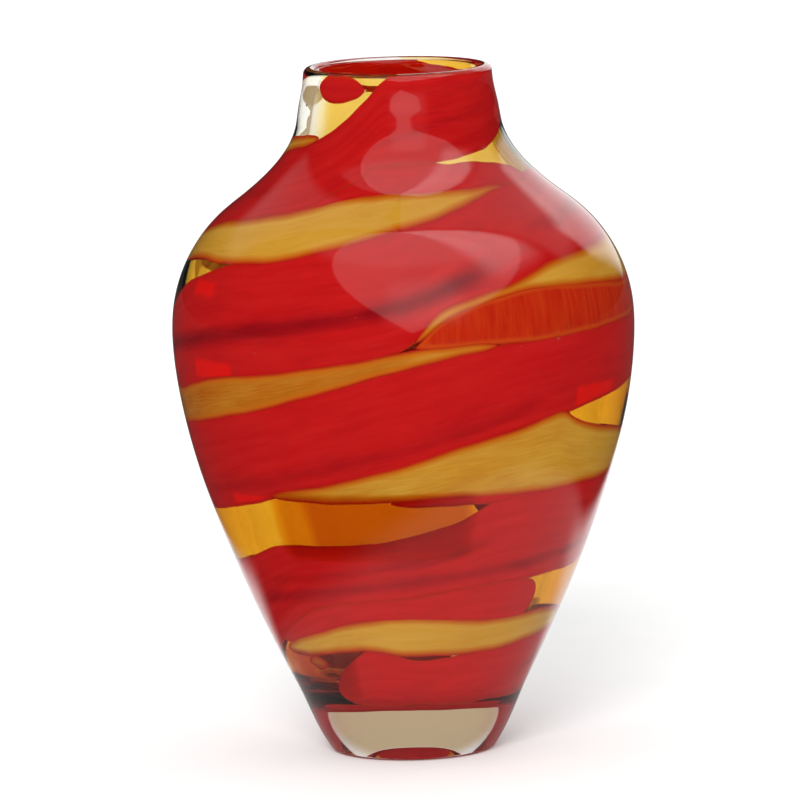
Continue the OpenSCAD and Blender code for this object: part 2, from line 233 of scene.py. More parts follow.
# Where the amber has drawn away from the collar: angles where it starts, holds and ends, levels in mm
# over which it starts, and the film that is left
BARE_ANGLES = (230, 246, 298, 312)
BARE_LEVELS = (205, 214)
BARE_FILM = 0.06 * MM

# Pools where the amber lies thicker: middle and half width in degrees, middle level and half height
# in mm, and how far the amber stands out into the clear glass. A pool's depth falls away over the outer
# shares of its half width and half height that POOL_FALL gives
POOLS = [
    (-11, 34, 88, 14, 4.2 * MM),
    (148, 34, 234, 9, 2.2 * MM),
    (188, 36, 73, 16, 4.2 * MM),
    (-50, 26, 32, 10, 4.2 * MM),
]
POOL_FALL = (1 / 5, 1 / 3)

# A trail's faces in the vase glow with painted light, which stands in for light that soaks through
# the trail, as a share of its colour
SOAKED_PAINTED_GLOW = 0.14

# Seed bubbles in the casing: angle, level in mm and radius in mm
BUBBLES = [
    (-40, 148.7, 0.45), (45.5, 155, 0.5), (41.5, 153.5, 0.3), (41.5, 151, 0.35), (57, 154, 0.25),
    (-7.5, 153, 0.3), (-12, 162, 0.25), (30, 150, 0.25), (25, 65.5, 0.35), (-20, 234.5, 0.5),
    (-69, 228, 0.6), (118, 120, 0.4), (165, 182, 0.45), (205, 96, 0.35), (248, 146, 0.4),
    (150, 52, 0.3), (222, 210, 0.35),
]
BUBBLE_DEPTH = 1.2 * MM
BUBBLE_RINGS = 8
BUBBLE_STEPS = 12

# How much wider than high a bubble is: the middle, how far it varies, and how quickly from one to the next
BUBBLE_WIDTHS = (1.15, 0.25, 1.7)

# The gathered glass under the floor: its steps out, the share of its radius in which its rim rounds off,
# the steps there, the share of a quarter turn at which they start, and how far its edge wanders
GATHER_ROWS = 8
GATHER_RIM = 0.1
GATHER_RIM_ROWS = 6
GATHER_RIM_START = 0.2
GATHER_WAVE = 0.12


# ---------------------------------------------------------------- outlines

def cad_outline(node):
    """Outline of a revolved CAD node: (radius, level) points in order, from one end to the other."""
    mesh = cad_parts[node].data
    places = np.array([v.co for v in mesh.vertices])
    outline = np.stack([np.hypot(places[:, 0], places[:, 1]), places[:, 2]], axis=1)
    near, of_vertex = np.unique(np.round(outline, 6), axis=0, return_inverse=True)
    rings = []
    ring_of = []
    for point in near:
        same = [i for i, ring in enumerate(rings) if np.abs(ring - point).max() < RING_TOLERANCE]
        if not same:
            rings.append(point)
        ring_of.append(same[0] if same else len(rings) - 1)
    ring_of = np.array(ring_of)[of_vertex.ravel()]
    beside = {i: set() for i in range(len(rings))}
    for edge in mesh.edges:
        a, b = (ring_of[i] for i in edge.vertices)
        if a != b:
            beside[a].add(b)
            beside[b].add(a)
    ends = [i for i in beside if len(beside[i]) == 1]
    walk = [min(ends, key=lambda i: rings[i][1])]
    while len(walk) < len(rings):
        ahead = [i for i in beside[walk[-1]] if i not in walk[-2:]]
        if not ahead:
            break
        walk.append(ahead[0])
    return np.array([rings[i] for i in walk])


def without_straights(points):
    """The points without those that lie on the straight between their neighbours."""
    kept = [points[0]]
    for i in range(1, len(points) - 1):
        before = (points[i] - kept[-1]) / np.linalg.norm(points[i] - kept[-1])
        after = (points[i + 1] - points[i]) / np.linalg.norm(points[i + 1] - points[i])
        if abs(before[0] * after[1] - before[1] * after[0]) > LEAST_TURN:
            kept.append(points[i])
    return np.array(kept + [points[-1]])


def smooth(points, step):
    """A smooth curve through the points, as points about step apart."""
    gaps = np.linalg.norm(np.diff(points, axis=0), axis=1)
    ways = np.diff(points, axis=0) / gaps[:, None]
    inner = (ways[:-1] * gaps[1:, None] + ways[1:] * gaps[:-1, None]) / (gaps[:-1] + gaps[1:])[:, None]
    ways = np.concatenate([ways[:1], inner, ways[-1:]])
    curve = [points[:1]]
    for i, gap in enumerate(gaps):
        steps = max(1, math.ceil(gap / step))
        t = (np.arange(1, steps + 1) / steps)[:, None]
        rise = points[i + 1] - points[i]
        a, b = ways[i] * gap, ways[i + 1] * gap
        curve.append(points[i] + t * a + t**2 * (3 * rise - 2 * a - b) + t**3 * (a + b - 2 * rise))
    return np.concatenate(curve)


def to_axis(outline):
    """The outline, closed to the axis at its last point's level."""
    return outline if outline[-1][0] < RING_TOLERANCE else np.vstack([outline, [0, outline[-1][1]]])


casing_outline = cad_outline("clear_casing")
liner_outline = cad_outline("amber_liner")
liner_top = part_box("amber_liner")[1].z
mouth_radius = min(p[0] for p in liner_outline if p[1] > liner_top - RING_TOLERANCE)


def mouth_index(outline):
    """Place in an outline of the point where the casing and the liner meet at the mouth."""
    return int(np.argmin(np.abs(outline - [mouth_radius, liner_top]).sum(axis=1)))


casing_split = mouth_index(casing_outline)
liner_split = mouth_index(liner_outline)
outer_line = casing_outline[:casing_split + 1]
casing_inside = casing_outline[casing_split:]
if liner_outline[0][1] > liner_outline[-1][1]:
    liner_outline = liner_outline[::-1]
    liner_split = mouth_index(liner_outline)
liner_outside = liner_outline[:liner_split + 1]
cavity_line = liner_outline[liner_split:]

air_line = without_straights(np.vstack([outer_line, to_axis(cavity_line)[1:]]))
air_line = smooth(air_line, SKIN_STEP)
air_line[:, 1] = np.maximum(air_line[:, 1], 0)
air_line[:, 0] = np.maximum(air_line[:, 0], 0)
air_split = mouth_index(air_line)
skin_line = air_line[:air_split + 1]
cavity_curve = air_line[air_split:]

casing_wall = casing_inside[casing_inside[:, 0] > mouth_radius + MM][::-1]
liner_wall = liner_outside[liner_outside[:, 1] < liner_top - RING_TOLERANCE]
casing_wall_curve = smooth(without_straights(casing_wall), INNER_STEP)
liner_wall_curve = smooth(without_straights(liner_wall), INNER_STEP)


def radius_at(curve, level):
    """Radius of a wall's curve at a level, both in metres."""
    order = np.argsort(curve[:, 1])
    return np.interp(level, curve[order, 1], curve[order, 0])


# ---------------------------------------------------------------- meshes

def new_piece(name, vertices, faces, materials, smooth_faces=True):
    """A mesh object with those materials."""
    mesh = bpy.data.meshes.new(name)
    mesh.from_pydata([tuple(v) for v in vertices], [], faces)
    for material in materials:
        mesh.materials.append(material)
    mesh.polygons.foreach_set("use_smooth", [smooth_faces] * len(mesh.polygons))
    mesh.update()
    piece = bpy.data.objects.new(name, mesh)
    bpy.context.scene.collection.objects.link(piece)
    return piece


def set_attribute(piece, name, kind, domain, values):
    """Adds a named attribute to a piece's mesh, for its material to read."""
    attribute = piece.data.attributes.new(name, kind, domain)
    attribute.data.foreach_set("vector" if kind == "FLOAT_VECTOR" else "value", np.ravel(values))


def slow_waves(angle, level, seed):
    """Gentle unevenness of hand worked glass, about -1 to 1, at an angle in radians and a level."""
    rng = np.random.default_rng(SEED + seed)
    total = np.zeros_like(angle * level)
    for turns in (2, 3, 4, 5):
        phase, height = rng.uniform(0, 2 * math.pi), rng.uniform(45, 90)
        total = total + np.sin(turns * angle + phase + level / MM / height * 2 * math.pi)
    return total / 4


def lathe(name, outline, wave, wave_seed, materials, own=None):
    """A closed revolved piece. wave is the height of the unevenness at each point of the outline, and
    own says for each stretch of the outline which of the materials it has."""
    on_axis = outline[:, 0] < RING_TOLERANCE
    angles = np.arange(RING_STEPS) * 2 * math.pi / RING_STEPS
    vertices = []
    rings = []
    for (radius, level), flat, height in zip(outline, on_axis, wave):
        start = len(vertices)
        if flat:
            vertices.append((0, 0, level))
            rings.append([start] * RING_STEPS)
            continue
        r = radius + height * slow_waves(angles, np.full(RING_STEPS, level), wave_seed)
        vertices.extend(zip(r * np.sin(angles), -r * np.cos(angles), np.full(RING_STEPS, level)))
        rings.append(list(range(start, start + RING_STEPS)))
    faces = []
    stretch = []
    for k in range(len(outline) - 1):
        low, high = rings[k], rings[k + 1]
        for i in range(RING_STEPS):
            j = (i + 1) % RING_STEPS
            corners = [low[i], low[j], high[j], high[i]]
            face = list(dict.fromkeys(corners))
            if len(face) > 2:
                faces.append(face)
                stretch.append(k)
    piece = new_piece(name, vertices, faces, materials)
    if own is not None:
        piece.data.polygons.foreach_set("material_index", [own[k] for k in stretch])
    return piece, np.array(stretch)


def faded(outline, height):
    """A wave's height along an outline, faded out towards the foot and the mouth."""
    level = outline[:, 1]
    from_foot = np.clip(level / WAVE_FADE, 0, 1)
    from_lip = np.clip((liner_top - WAVE_FADE / 2 - level) / WAVE_FADE, 0, 1)
    inside = np.clip(outline[:, 0] / WAVE_FADE, 0, 1)
    return height * from_foot * from_lip * inside


def build_casing(skin_glass, inner_glass):
    """Outer gather of clear glass: skin, lip, polished hollow, and the face that lies on the trails."""
    inside = np.vstack([
        [[radius_at(casing_wall_curve, liner_top), liner_top]],
        casing_wall_curve[::-1][1:],
        [[0, casing_wall_curve[0][1]]],
    ])
    outline = np.vstack([skin_line, inside])
    wave = np.concatenate([faded(skin_line, SKIN_WAVE), np.zeros(len(inside))])
    own = [0] * (len(skin_line) - 1) + [1] * len(inside)
    piece, _ = lathe("casing_glass", outline, wave, 1, [skin_glass, inner_glass], own)
    return piece


def bare_share(turn, level):
    """How far the amber has drawn away from the collar's left side, 0 to 1, so clear glass shows."""
    around = np.interp(turn % 360, BARE_ANGLES, [0, 1, 1, 0])
    return around * np.interp(level, BARE_LEVELS, [0, 1])


def pool_depth(turn, level):
    """How much thicker the amber lies at each angle and level in mm."""
    total = np.zeros_like(level)
    for middle, half_width, height, half_height, depth in POOLS:
        across = np.abs((turn - middle + 180) % 360 - 180) / half_width
        upward = np.abs(level - height) / half_height
        inside = np.clip((1 - across) / POOL_FALL[0], 0, 1) * np.clip((1 - upward) / POOL_FALL[1], 0, 1)
        total += depth * inside
    return total


def shape_outside(piece, count):
    """Moves the liner's outer vertices, which are its first ones, out into its pools, and in where the
    amber has drawn away. The very first is on the axis and stays."""
    places = np.array([vertex.co for vertex in piece.data.vertices])
    outer = places[1:count]
    level = outer[:, 2]
    radius = np.hypot(outer[:, 0], outer[:, 1])
    turn = np.degrees(np.arctan2(outer[:, 0], -outer[:, 1]))
    wanted = radius + pool_depth(turn, level / MM)
    thin = radius_at(cavity_curve, level) + BARE_FILM
    wanted += bare_share(turn, level / MM) * (thin - wanted)
    outer[:, :2] *= (wanted / radius)[:, None]
    piece.data.vertices.foreach_set("co", places.ravel())
    piece.data.update()


def build_liner(material):
    """Amber bubble that lines the cavity. Its attribute says which faces meet air."""
    top = liner_top - LAYER_GAP
    outside = np.vstack([[[0, liner_wall_curve[0][1]]], liner_wall_curve])
    outside = outside[outside[:, 1] <= top]
    rim = [[radius_at(liner_wall_curve, liner_top), top]]
    cavity = cavity_curve.copy()
    cavity[0, 1] = top
    outline = np.vstack([outside, rim, cavity])
    wave = np.concatenate([np.zeros(len(outside) + 1), faded(cavity, CAVITY_WAVE)])
    piece, stretch = lathe("liner_glass", outline, wave, 2, [material])
    shape_outside(piece, 1 + len(outside) * RING_STEPS)
    meets_air = (stretch >= len(outside) + 1).astype(np.float32)
    set_attribute(piece, "meets_air", "FLOAT", "FACE", meets_air)
    return piece


# ---------------------------------------------------------------- trails

def along(path, angles, column):
    """Value of a column of a path at each angle, on a smooth curve through its rows."""
    rows = np.array(path, float)
    x, y = rows[:, 0], rows[:, column]
    before = np.maximum(np.arange(len(x)) - 1, 0)
    after = np.minimum(np.arange(len(x)) + 1, len(x) - 1)
    slopes = (y[after] - y[before]) / (x[after] - x[before])
    i = np.clip(np.searchsorted(x, angles, side="right") - 1, 0, len(x) - 2)
    span = x[i + 1] - x[i]
    t = (angles - x[i]) / span
    rise, a, b = y[i + 1] - y[i], slopes[i] * span, slopes[i + 1] * span
    return y[i] + t * a + t**2 * (3 * rise - 2 * a - b) + t**3 * (a + b - 2 * rise)


def wander(angles, rng, reach):
    """Small unevenness of a trail's edge, in mm."""
    total = np.zeros_like(angles)
    for length in (47.0, 23.0, 11.0):
        total += np.sin(angles / length * 2 * math.pi + rng.uniform(0, 2 * math.pi)) * length / 47
    return total * reach / 2


def streak_and_painted_shade_tone(name, angles, levels):
    """How deep the darker streaks, partly painted shade, and the darker stretches make the colour, from 0,
    at each angle and level.
    """
    tone_and_painted_light = np.zeros_like(levels)
    for width, strength, points in STREAKS_AND_PAINTED_SHADE.get(name, []):
        line = np.array(points, float)
        middle = np.interp(angles, line[:, 0], line[:, 1])
        from_end = np.minimum(angles - line[0, 0], line[-1, 0] - angles)
        inside = np.clip(from_end / STREAK_FADE, 0, 1)
        tone_and_painted_light += strength * inside * np.exp(-((levels - middle) / width) ** 2)
    for start, full, hold, end, strength in DEEP_STRETCHES.get(name, []):
        tone_and_painted_light += strength * np.interp(angles, [start, full, hold, end], [0, 1, 1, 0])
    return tone_and_painted_light


def painted_glow(name, angles, levels):
    """Where a trail has painted light, brighter, from 0 to 1, at each angle and level."""
    total = np.zeros_like(levels)
    for left, right, low, high in PAINTED_GLOWS.get(name, []):
        turn = (angles - left) % 360
        inside = np.clip(np.minimum(turn, right - left - turn) / PATCH_BLEND[0] + 0.5, 0, 1)
        total += inside * np.clip(np.minimum(levels - low, high - levels) / PATCH_BLEND[1] + 0.5, 0, 1)
    return total


def trail_steps(path):
    """Angles of a trail's steps, which are closer at its blunt ends, and its share of its full width at
    each of them."""
    first, last = path[0][0], path[-1][0]
    ends = min(END_LENGTH, (last - first) / 3)
    even = np.linspace(first, last, max(TRAIL_LEAST_STEPS, math.ceil((last - first) / TRAIL_STEP_DEG)))
    close = np.array(END_STEPS) * ends
    angles = np.unique(np.round(np.concatenate([even, first + close, last - close]), 4))
    from_end = np.clip(np.minimum(angles - first, last - angles) / ends, 0, 1)
    return angles, np.sqrt(np.clip(1 - (1 - from_end) ** 2, LEAST_END, 1))


def trail_sheets(node, angles, levels, fullness):
    """Points of a trail's outer and inner sheet at each angle and level in its bed, and the bed's mean
    radius at each angle."""
    outer = radius_at(casing_wall_curve, levels * MM)
    inner = radius_at(liner_wall_curve, levels * MM)
    bed_middle, bed_half = (outer + inner) / 2, (outer - inner) / 2
    place, thickness = DEPTHS[node]
    turn = np.radians(angles)[:, None]
    sheets = []
    for side in (1, -1):
        r = bed_middle + bed_half * (place + side * thickness * fullness)
        sheets.append(np.stack([r * np.sin(turn), -r * np.cos(turn), levels * MM], axis=-1))
    return sheets, bed_middle.mean(axis=1)


def tube_faces(steps, around):
    """Faces of a closed tube of rings, each with as many points around it."""
    faces = [list(range(around)), [(steps - 1) * around + j for j in range(around)][::-1]]
    for i in range(steps - 1):
        near, far = i * around, (i + 1) * around
        for j in range(around):
            k = (j + 1) % around
            faces.append([near + j, far + j, far + k, near + k])
    return faces


def round_the_ring(outer, inner):
    """Values of the outer sheet's points and then of the inner sheet's, which run back."""
    return np.concatenate([outer, inner[:, ::-1]], axis=1)


def build_trail(node, index, material):
    """One trail as a smooth ribbon with thin, rounded edges and ends."""
    path = PATHS[node]
    rng = np.random.default_rng(SEED + 100 + index)
    angles, blunt = trail_steps(path)
    low = along(path, angles, 1) - FRINGE + wander(angles, rng, EDGE_WANDER)
    high = along(path, angles, 2) + FRINGE + wander(angles, rng, EDGE_WANDER)
    high = np.minimum(high, liner_top / MM - TOP_GAP)
    low = np.minimum(low, high - LEAST_WIDTH)
    middle, half = (low + high)[:, None] / 2, ((high - low) / 2 * blunt)[:, None]
    rows = max(TRAIL_LEAST_ROWS, math.ceil((high - low).max() / TRAIL_ROW))
    share = np.sin(np.linspace(-math.pi / 2, math.pi / 2, rows + 1))[None, :]
    levels = middle + half * share
    fullness = np.sqrt(np.clip(1 - share**4, LEAST_EDGE, 1)) * np.sqrt(blunt)[:, None]
    sheets, mean_radius = trail_sheets(node, angles, levels, fullness)
    ring = round_the_ring(*sheets)
    faces = tube_faces(len(angles), ring.shape[1])
    piece = new_piece(f"{node}_glass", ring.reshape(-1, 3), faces, [material])

    stretches = np.radians(np.diff(angles)) * mean_radius[1:] / MM
    length = np.concatenate([[0], np.cumsum(stretches)])[:, None]
    edge = np.minimum(levels - middle + half, middle + half - levels)
    edge = np.minimum(edge, np.minimum(length, length[-1] - length))
    flat = np.broadcast_to(length, levels.shape)
    trail = np.stack([flat, levels - middle, edge], axis=-1).astype(np.float32)
    across_angles = np.broadcast_to(angles[:, None], levels.shape)
    # The streaks' darkness, partly painted shade, less the painted light of the glow patches
    tone_and_painted_light = streak_and_painted_shade_tone(node, across_angles, levels) - painted_glow(node, across_angles, levels)
    inside = round_the_ring(np.zeros_like(levels), np.ones_like(levels))
    set_attribute(piece, "trail", "FLOAT_VECTOR", "POINT", round_the_ring(trail, trail))
    set_attribute(piece, "inside", "FLOAT", "POINT", inside)
    set_attribute(piece, "tone_and_painted_light", "FLOAT", "POINT", round_the_ring(tone_and_painted_light, tone_and_painted_light))
    return piece


def build_gather(material):
    """Red glass gathered flat under the middle of the vase's floor, where the trails begin."""
    near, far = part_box("red_foot_gather")
    middle, half = (near.z + far.z) / 2, (far.z - near.z) / 2
    reach = far.x * (1 - GATHER_WAVE / 2)
    rounding = np.sin(np.linspace(GATHER_RIM_START, 1, GATHER_RIM_ROWS) * math.pi / 2)
    shares = np.concatenate([np.linspace(0, 1 - GATHER_RIM, GATHER_ROWS), 1 - GATHER_RIM * (1 - rounding)])
    heights = half * np.sqrt(1 - np.clip((shares - 1 + GATHER_RIM) / GATHER_RIM, 0, 1) ** 2)
    under = np.stack([reach * shares, middle - heights], axis=1)
    over = np.stack([reach * shares, middle + heights], axis=1)
    outline = np.concatenate([under, over[-2::-1]])
    wave = outline[:, 0] * GATHER_WAVE / 2
    piece, _ = lathe("red_foot_gather_glass", outline, wave, 3, [material])
    places = np.array([vertex.co for vertex in piece.data.vertices])
    radius = np.hypot(places[:, 0], places[:, 1])
    turn = np.arctan2(places[:, 0], -places[:, 1])
    trail = np.stack([turn * reach / 3, radius, np.maximum(reach - radius, 0)], axis=1) / MM
    set_attribute(piece, "trail", "FLOAT_VECTOR", "POINT", trail.astype(np.float32))
    set_attribute(piece, "tone_and_painted_light", "FLOAT", "POINT", np.zeros(len(places), np.float32))
    return piece


def build_bubbles(material):
    """Seed bubbles caught in the casing, each a little wider than it is high."""
    vertices = []
    faces = []
    outer_skin = skin_line[skin_line[:, 1] > FOOT_PART]
    for index, (angle, level, radius) in enumerate(BUBBLES):
        turn = math.radians(angle)
        reach = radius_at(outer_skin, level * MM) - BUBBLE_DEPTH
        centre = Vector((reach * math.sin(turn), -reach * math.cos(turn), level * MM))
        width = BUBBLE_WIDTHS[0] + BUBBLE_WIDTHS[1] * math.sin(index * BUBBLE_WIDTHS[2])
        rows = []
        for i in range(BUBBLE_RINGS + 1):
            tilt = math.pi * i / BUBBLE_RINGS
            row = []
            for j in range(BUBBLE_STEPS if 0 < i < BUBBLE_RINGS else 1):
                spin = 2 * math.pi * j / BUBBLE_STEPS
                sideways = Vector((math.cos(spin), math.sin(spin), 0)) * math.sin(tilt) * width
                row.append(len(vertices))
                vertices.append(centre + (sideways + Vector((0, 0, math.cos(tilt)))) * radius * MM)
            rows.append(row * (BUBBLE_STEPS // len(row)))
        for upper, lower in zip(rows, rows[1:]):
            for j in range(BUBBLE_STEPS):
                k = (j + 1) % BUBBLE_STEPS
                faces.append(list(dict.fromkeys([upper[j], lower[j], lower[k], upper[k]])))
    return new_piece("seed_bubbles", vertices, faces, [material])


# ---------------------------------------------------------------- materials

def new_material(name):
    """An empty node material, with its Principled shader joined to its output."""
    material = bpy.data.materials.new(name)
    material.use_nodes = True
    nodes = material.node_tree.nodes
    nodes.clear()
    shader = nodes.new("ShaderNodeBsdfPrincipled")
    output = nodes.new("ShaderNodeOutputMaterial")
    material.node_tree.links.new(shader.outputs[0], output.inputs["Surface"])
    return material, shader, output


def join(owner, source, target):
    """Links two sockets in the node tree of a material or a world."""
    owner.node_tree.links.new(source, target)


def feed(owner, value, socket):
    """Gives a socket a plain number or another socket's value."""
    if isinstance(value, bpy.types.NodeSocket):
        join(owner, value, socket)
    else:
        socket.default_value = value


def maths(owner, operation, a, b=0.0):
    """Result of one sum on plain numbers or sockets."""
    node = owner.node_tree.nodes.new("ShaderNodeMath")
    node.operation = operation
    feed(owner, a, node.inputs[0])
    feed(owner, b, node.inputs[1])
    return node.outputs[0]


def rise(owner, value, start, end):
    """0 at start and 1 at end, with a soft step between them."""
    node = owner.node_tree.nodes.new("ShaderNodeMapRange")
    node.interpolation_type = "SMOOTHSTEP"
    node.inputs["From Min"].default_value = start
    node.inputs["From Max"].default_value = end
    join(owner, value, node.inputs["Value"])
    return node.outputs[0]


def mixed(owner, factor, a, b):
    """Colour a, turning to b as factor goes from 0 to 1."""
    node = owner.node_tree.nodes.new("ShaderNodeMix")
    node.data_type = "RGBA"
    for name, value in (("Factor_Float", factor), ("A_Color", a), ("B_Color", b)):
        socket = next(s for s in node.inputs if s.identifier == name)
        feed(owner, (*value, 1) if isinstance(value, tuple) else value, socket)
    return next(s for s in node.outputs if s.identifier == "Result_Color")


def ramp(material, factor, start, end, interpolation="LINEAR"):
    """Colour ramp between two (place, colour) stops."""
    node = material.node_tree.nodes.new("ShaderNodeValToRGB")
    node.color_ramp.interpolation = interpolation
    for element, (place, colour) in zip(node.color_ramp.elements, (start, end)):
        element.position = place
        element.color = (*colour, 1)
    join(material, factor, node.inputs[0])
    return node.outputs[0]


def attribute(material, name):
    """Attribute node that reads what build_trail or build_liner stored under that name."""
    node = material.node_tree.nodes.new("ShaderNodeAttribute")
    node.attribute_name = name
    return node


def axes(owner, vector):
    """Sockets of a vector's X, Y and Z."""
    node = owner.node_tree.nodes.new("ShaderNodeSeparateXYZ")
    join(owner, vector, node.inputs[0])
    return node.outputs


def noise(material, vector, scales, size, detail=3.0, roughness=0.5):
    """Noise over a vector that is first scaled by three numbers."""
    nodes = material.node_tree.nodes
    mapping = nodes.new("ShaderNodeMapping")
    mapping.inputs["Scale"].default_value = scales
    join(material, vector, mapping.inputs["Vector"])
    node = nodes.new("ShaderNodeTexNoise")
    node.inputs["Scale"].default_value = size
    node.inputs["Detail"].default_value = detail
    node.inputs["Roughness"].default_value = roughness
    join(material, mapping.outputs[0], node.inputs["Vector"])
    return node.outputs["Fac"]


def bump(material, shader, height, distance, strength):
    """Bumps a shader's surface by a height."""
    node = material.node_tree.nodes.new("ShaderNodeBump")
    node.inputs["Strength"].default_value = strength
    node.inputs["Distance"].default_value = distance
    join(material, height, node.inputs["Height"])
    join(material, node.outputs[0], shader.inputs["Normal"])


def clear_skin():
    """Fire polished clear glass, worn dull on the ring that it stands on."""
    material, shader, _ = new_material("clear_skin")
    shader.inputs["Base Color"].default_value = CLEAR_TINT
    shader.inputs["IOR"].default_value = GLASS_IOR
    shader.inputs["Transmission Weight"].default_value = 1
    place = material.node_tree.nodes.new("ShaderNodeNewGeometry").outputs["Position"]
    scuffs = noise(material, place, (1, 1, 1), 900, 4)
    near_floor = maths(material, "LESS_THAN", axes(material, place)["Z"], WORN_HEIGHT)
    worn = maths(material, "MULTIPLY", near_floor, scuffs)
    join(material, maths(material, "MULTIPLY", worn, WORN_ROUGHNESS), shader.inputs["Roughness"])
    swirl = noise(material, place, (1, 1, 0.45), 38, 2)
    bump(material, shader, swirl, SWIRL_HEIGHT, 0.35)
    return material


def matched_glass():
    """Where clear glass lies on glass of the same kind, nothing shows."""
    material, shader, _ = new_material("matched_glass")
    shader.inputs["Base Color"].default_value = (1, 1, 1, 1)
    shader.inputs["Alpha"].default_value = 0
    shader.inputs["Specular IOR Level"].default_value = 0
    return material


def amber_glass():
    """Transparent amber glass. Only its faces in the cavity meet air and bend light."""
    material, shader, output = new_material("amber_glass")
    shader.inputs["Base Color"].default_value = (1, 1, 1, 1)
    shader.inputs["Roughness"].default_value = 0
    shader.inputs["IOR"].default_value = GLASS_IOR
    shader.inputs["Transmission Weight"].default_value = 1
    join(material, attribute(material, "meets_air").outputs["Fac"], shader.inputs["Alpha"])
    volume = material.node_tree.nodes.new("ShaderNodeVolumeAbsorption")
    volume.inputs["Color"].default_value = AMBER_TINT
    volume.inputs["Density"].default_value = AMBER_DENSITY
    join(material, volume.outputs[0], output.inputs["Volume"])
    return material


def trail_glass(name, body, dark, pale, painted_glow_colour, rim, border, rim_width, grain):
    """Dense coloured glass of a trail. Its body is streaked with pale and dark glass, the dark streaks
    partly painted shade, and has patches of painted light where light from behind would shine through.
    Its faces in the vase glow with painted light. Its rim, rim_width mm wide, glows, and ends in a
    border. grain is how fine the streaks are along and across the trail."""
    material, shader, _ = new_material(name)
    trail = attribute(material, "trail").outputs["Vector"]
    tone_and_painted_light = attribute(material, "tone_and_painted_light").outputs["Fac"]
    black, white = (0, 0, 0), (1, 1, 1)
    flow = noise(material, trail, (grain[0], grain[1], 0), 1, 4, 0.6)
    fine = noise(material, trail, (grain[0] * 2.5, grain[1] * 5, 0), 1, 3, 0.6)
    cloud = noise(material, trail, (0.05, 0.09, 0), 1, 2)
    colour = mixed(material, ramp(material, flow, (0.35, black), (0.75, white)), body, pale)
    # Darkness from the streaks, partly painted shade, with random variation added
    darkness = tone_and_painted_light
    for variation, middle, strength in ((fine, 0.55, 0.8), (cloud, 0.5, 0.7)):
        change = maths(material, "MULTIPLY", maths(material, "SUBTRACT", variation, middle), strength)
        darkness = maths(material, "ADD", darkness, change)
    # Painted light: the glow patches turn the colour towards the painted glow colour
    light = maths(material, "MULTIPLY", tone_and_painted_light, -1.0)
    colour = mixed(material, ramp(material, light, (0.0, black), (0.9, white)), colour, painted_glow_colour)
    colour = mixed(material, ramp(material, darkness, (0.0, black), (1.0, white)), colour, dark)
    edge = maths(material, "DIVIDE", axes(material, trail)["Z"], rim_width)
    colour = mixed(material, ramp(material, edge, (0.35, white), (1.0, black), "EASE"), colour, rim)
    colour = mixed(material, ramp(material, edge, (0.05, white), (0.5, black), "EASE"), colour, border)
    join(material, colour, shader.inputs["Base Color"])
    # Painted light: the faces in the vase glow, standing in for light that soaks through the trail
    inside = attribute(material, "inside").outputs["Fac"]
    join(material, mixed(material, inside, black, colour), shader.inputs["Emission Color"])
    shader.inputs["Emission Strength"].default_value = SOAKED_PAINTED_GLOW
    shader.inputs["Roughness"].default_value = 0.6
    shader.inputs["Specular IOR Level"].default_value = 0
    return material


def bubble_glass():
    """Wall of a seed bubble."""
    material, shader, _ = new_material("bubble_air")
    shader.inputs["Base Color"].default_value = (1, 1, 1, 1)
    shader.inputs["Roughness"].default_value = 0
    shader.inputs["IOR"].default_value = GLASS_IOR
    shader.inputs["Transmission Weight"].default_value = 1
    return material


def product(material, a, b):
    """One vector or colour times another, part by part."""
    node = material.node_tree.nodes.new("ShaderNodeVectorMath")
    node.operation = "MULTIPLY"
    feed(material, a, node.inputs[0])
    feed(material, b, node.inputs[1])
    return node.outputs[0]


def floor_paint():
    """Plain pale matt floor with a faint mottle. Seen in the glass, it has a painted reflection that
    darkens away from the vase, as a table does against a dim room."""
    material, shader, _ = new_material("pale_floor")
    place = material.node_tree.nodes.new("ShaderNodeNewGeometry").outputs["Position"]
    mottle = noise(material, place, (1, 1, 1), 14, 3)
    pale = ramp(material, mottle, (0.3, (0.90, 0.90, 0.895)), (0.7, (0.92, 0.92, 0.915)))
    across, deep, _ = axes(material, place)
    reach = material.node_tree.nodes.new("ShaderNodeVectorMath")
    reach.operation = "DISTANCE"
    join(material, place, reach.inputs[0])
    reach.inputs[1].default_value = (TABLE_MIDDLE, 0, 0)
    away = rise(material, reach.outputs["Value"], *TABLE_EDGE)
    aside = maths(material, "ABSOLUTE", maths(material, "SUBTRACT", across, STRIP_MIDDLE))
    in_strip = rise(material, aside, *STRIP_HALF_WIDTH)
    behind = maths(material, "MULTIPLY", in_strip, rise(material, deep, *STRIP_START))
    path = material.node_tree.nodes.new("ShaderNodeLightPath").outputs
    # Painted reflection: only where the glass mirrors it is the floor shaded like a dimmer table
    mirrored = maths(material, "MULTIPLY", path["Is Glossy Ray"], path["Is Reflection Ray"])
    near, far = (tuple([share] * 3) for share in PAINTED_TABLE_SHARES)
    shade = mixed(material, behind, mixed(material, away, near, far), (1, 1, 1))
    shade = mixed(material, mirrored, (1, 1, 1), shade)
    join(material, product(material, pale, shade), shader.inputs["Base Color"])
    shader.inputs["Roughness"].default_value = 0.8
    shader.inputs["Specular IOR Level"].default_value = 0.1
    return material


